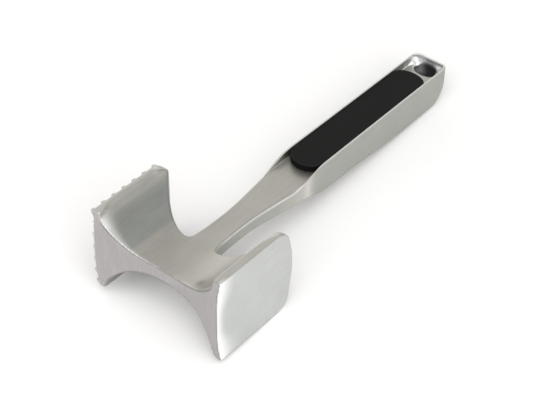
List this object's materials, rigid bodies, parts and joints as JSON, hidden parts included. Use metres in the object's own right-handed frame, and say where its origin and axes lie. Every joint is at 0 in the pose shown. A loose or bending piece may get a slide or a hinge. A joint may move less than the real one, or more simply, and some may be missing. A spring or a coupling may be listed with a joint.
{
  "type": "meat mallet",
  "caption": "Cast aluminium meat mallet with an hourglass head, one studded and one smooth striking face, a flared neck, and a long handle with a soft black inlay and a hanging hole",
  "frame": {"origin": "middle of the mallet in plan, at the level of the plates' lower edges", "axes": "+Y runs along the handle away from the head, -X is the studded face, +X is the smooth face, +Z is the side with the inlay"},
  "size_m": [0.0924, 0.2528, 0.056],
  "materials": {
    "cast_aluminium": "satin brushed and tumbled casting, polished inside the hanging hole",
    "soft_grip": "matte soft-touch moulding",
    "adhesive_film": "thin translucent bonding film, hidden under the inlay"
  },
  "bodies": {
    "root": {"mallet_body": "cast_aluminium", "grip_inlay": "soft_grip", "inlay_adhesive": "adhesive_film"}
  },
  "joints": []
}
